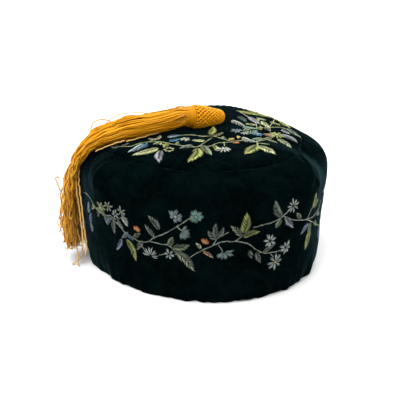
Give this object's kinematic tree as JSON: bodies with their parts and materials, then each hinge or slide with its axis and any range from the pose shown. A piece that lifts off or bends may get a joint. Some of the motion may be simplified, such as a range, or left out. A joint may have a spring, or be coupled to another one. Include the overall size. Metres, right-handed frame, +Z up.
{
  "type": "smoking cap",
  "caption": "Soft velvet smoking cap with a low side band, a gently domed round crown and a silk tassel that hangs over one side; open below for the head.",
  "frame": {"origin": "middle of the footprint, on the surface that the rim rests on", "axes": "+Z up, the front towards -Y, the tassel's fall towards -X"},
  "size_m": [0.2104, 0.1998, 0.1216],
  "materials": {
    "velvet": "near-black velvet with a teal cast",
    "gold_silk": "glossy twisted silk",
    "wound_silk": "tightly wound silk"
  },
  "bodies": {
    "root": {"side_band": "velvet", "crown_top": "velvet", "tassel_head": "gold_silk", "tassel_skirt": "gold_silk", "tassel_collar": "wound_silk"}
  },
  "joints": []
}
